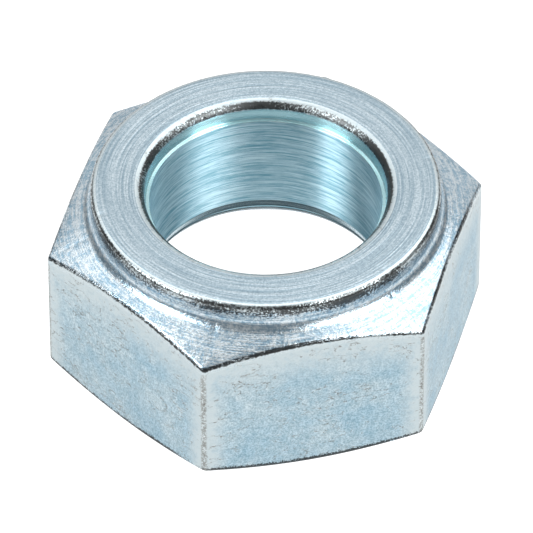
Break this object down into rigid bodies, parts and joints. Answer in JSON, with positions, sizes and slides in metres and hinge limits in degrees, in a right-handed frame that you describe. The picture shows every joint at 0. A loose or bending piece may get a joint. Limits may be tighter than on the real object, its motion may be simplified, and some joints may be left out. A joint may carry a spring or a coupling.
{
  "type": "top lock nut",
  "caption": "Heavy hexagon lock nut with a round collar, a plain stepped bore and a conical seat underneath, zinc plated.",
  "frame": {"origin": "centre of the nut on the plane of its bearing ring, on the bore's axis", "axes": "+Z along the bore from the bearing ring up to the collar, +X through a corner of the hexagon, so +Y is square to a flat"},
  "size_m": [0.053, 0.046, 0.0235],
  "materials": {
    "zinc_plate": "zinc plate with a pale blue passivate: satin turned collar face, mottled slopes and flats, bright teal bore"
  },
  "bodies": {
    "root": {"lock_nut": "zinc_plate"}
  },
  "joints": []
}
